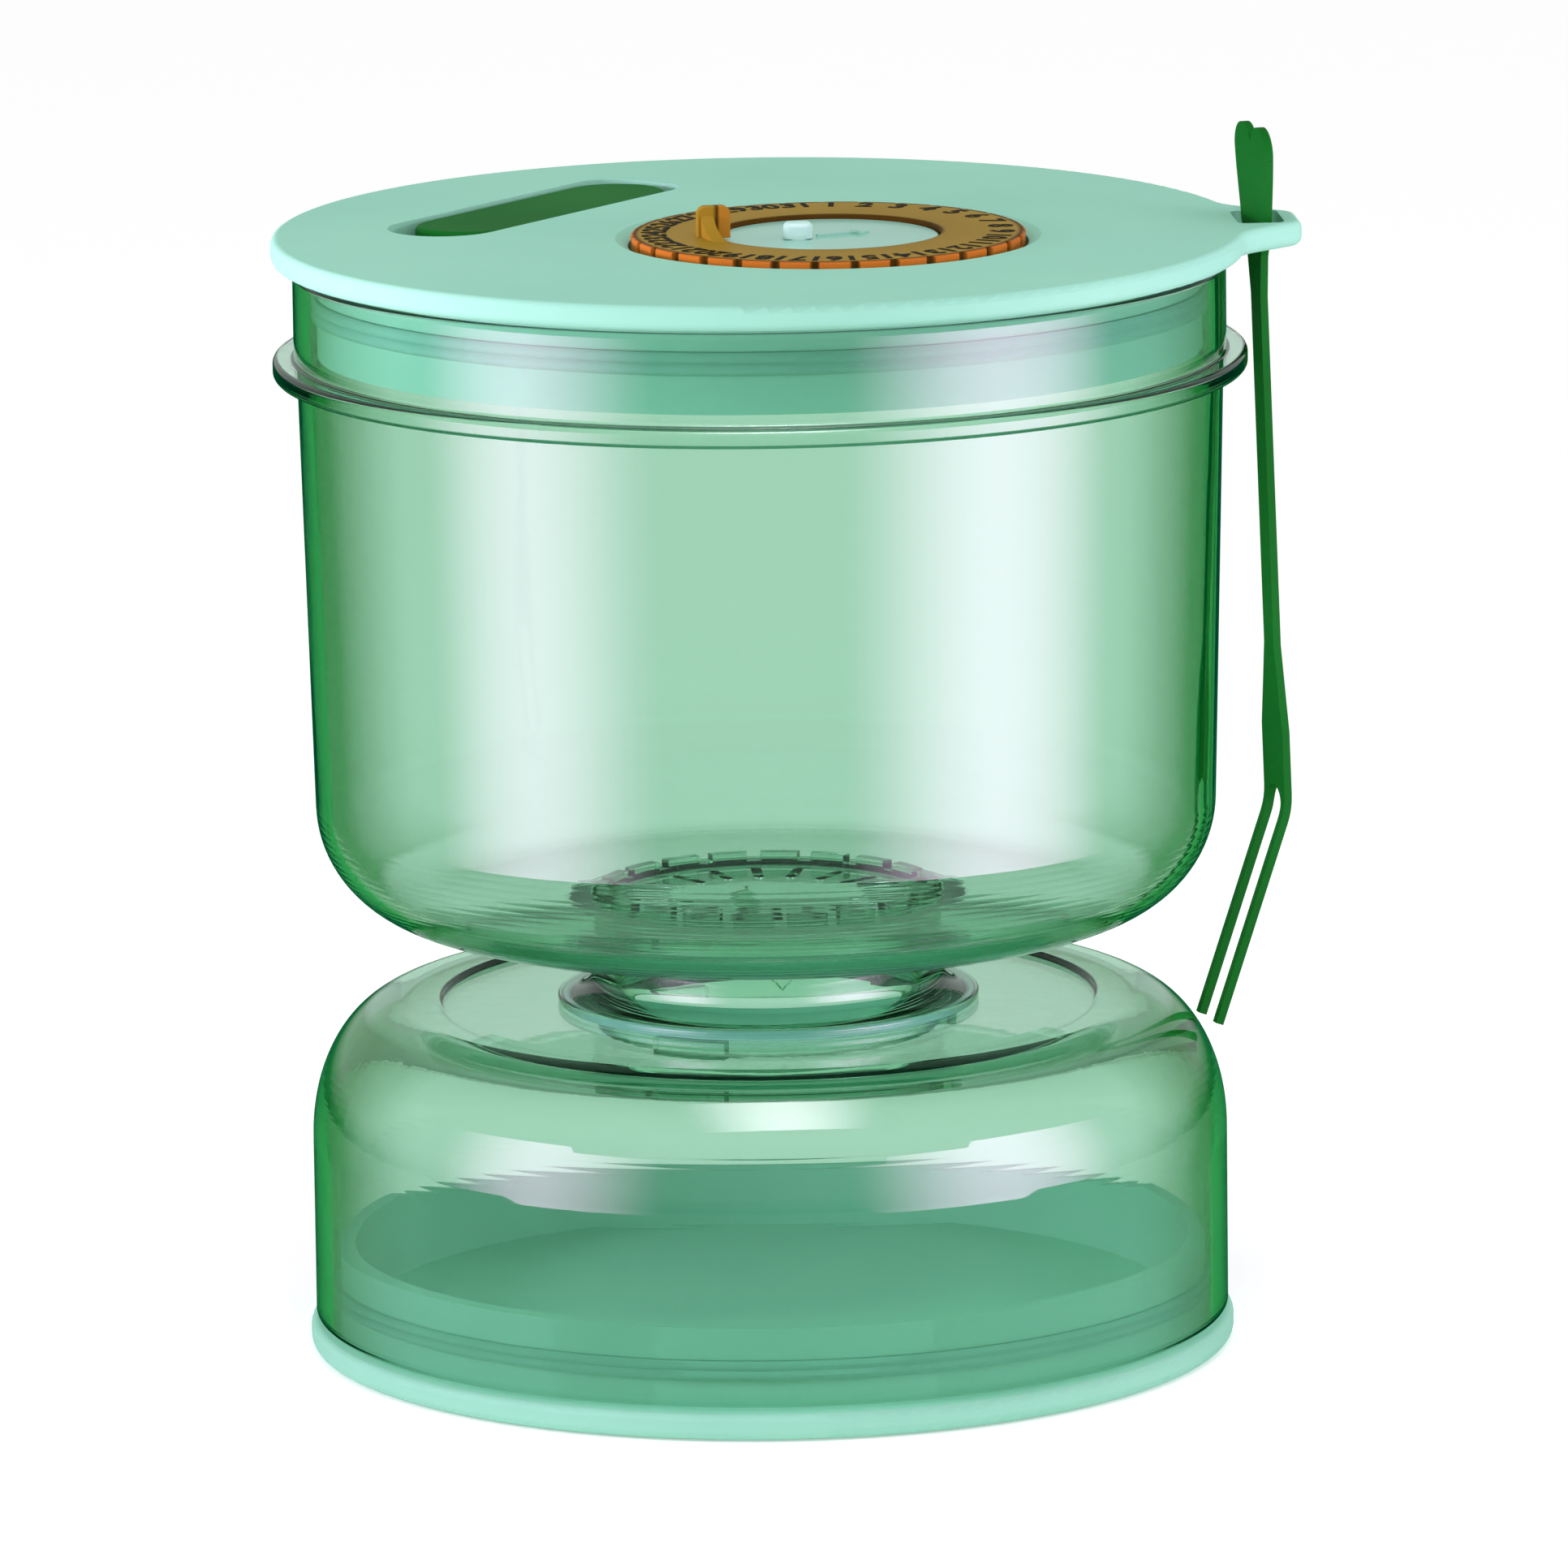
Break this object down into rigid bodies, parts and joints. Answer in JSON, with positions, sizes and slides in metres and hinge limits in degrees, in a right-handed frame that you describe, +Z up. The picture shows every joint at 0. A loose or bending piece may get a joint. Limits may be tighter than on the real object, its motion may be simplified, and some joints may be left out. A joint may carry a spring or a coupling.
{
  "type": "hourglass strainer jar",
  "caption": "Hourglass jar for pickles and olives: two clear chambers with a strainer neck, plug lid with date dial and lift handle, base cap, and a hanging fork.",
  "frame": {"origin": "centre of the base cap's underside, where the jar stands", "axes": "+Z up along the jar's axis, +X towards the ear that the fork hangs from"},
  "size_m": [0.131, 0.124, 0.1557],
  "materials": {
    "mint_plastic": "fine satin moulded plastic",
    "clear_plastic": "clear green-tinted moulded plastic",
    "seal_silicone": "translucent matte silicone",
    "gasket_silicone": "translucent matte silicone",
    "hub_plastic": "glossy moulded plastic",
    "vent_silicone": "matte silicone",
    "dial_gold": "gold-brown satin plastic",
    "green_plastic": "dark green satin plastic",
    "pin_plastic": "plain moulded plastic"
  },
  "bodies": {
    "base": {"base_cap": "mint_plastic", "base_seal": "seal_silicone"},
    "lower_chamber": {"lower_jar": "clear_plastic"},
    "upper_chamber": {"upper_jar": "clear_plastic", "neck_gasket": "gasket_silicone"},
    "strainer": {"strainer_disc": "clear_plastic"},
    "lid": {"top_lid": "mint_plastic", "lid_seal": "seal_silicone", "dial_hub": "hub_plastic", "handle_pin": "pin_plastic"},
    "dial": {"date_ring": "dial_gold"},
    "vent": {"vent_plug": "vent_silicone"},
    "handle": {"lift_handle": "green_plastic"},
    "fork": {"fork": "green_plastic"}
  },
  "joints": [
    {"name": "base_pull", "type": "slide", "parent": "base", "child": "lower_chamber", "axis": [0, 0, 1], "range_m": [0, 0.03]},
    {"name": "neck_turn", "type": "hinge", "parent": "lower_chamber", "child": "upper_chamber", "pos_m": [0, 0, 0.045], "axis": [0, 0, 1], "range_deg": [0, 60]},
    {"name": "strainer_lift", "type": "slide", "parent": "upper_chamber", "child": "strainer", "axis": [0, 0, 1], "range_m": [0, 0.05]},
    {"name": "lid_lift", "type": "slide", "parent": "upper_chamber", "child": "lid", "axis": [0, 0, 1], "range_m": [0, 0.016]},
    {"name": "dial_turn", "type": "hinge", "parent": "lid", "child": "dial", "pos_m": [0.00831, -0.00673, 0.143], "axis": [0, 0, 1], "continuous": true},
    {"name": "vent_pull", "type": "slide", "parent": "lid", "child": "vent", "axis": [0, 0, 1], "range_m": [0, 0.003]},
    {"name": "handle_flip", "type": "hinge", "parent": "lid", "child": "handle", "pos_m": [-0.01363, 0.03973, 0.14185], "axis": [-0.7771, 0.6293, 0], "range_deg": [0, 90]},
    {"name": "fork_swing", "type": "hinge", "parent": "lid", "child": "fork", "pos_m": [0.0637, 0, 0.1422], "axis": [0, -1, 0], "range_deg": [0, 26]}
  ]
}
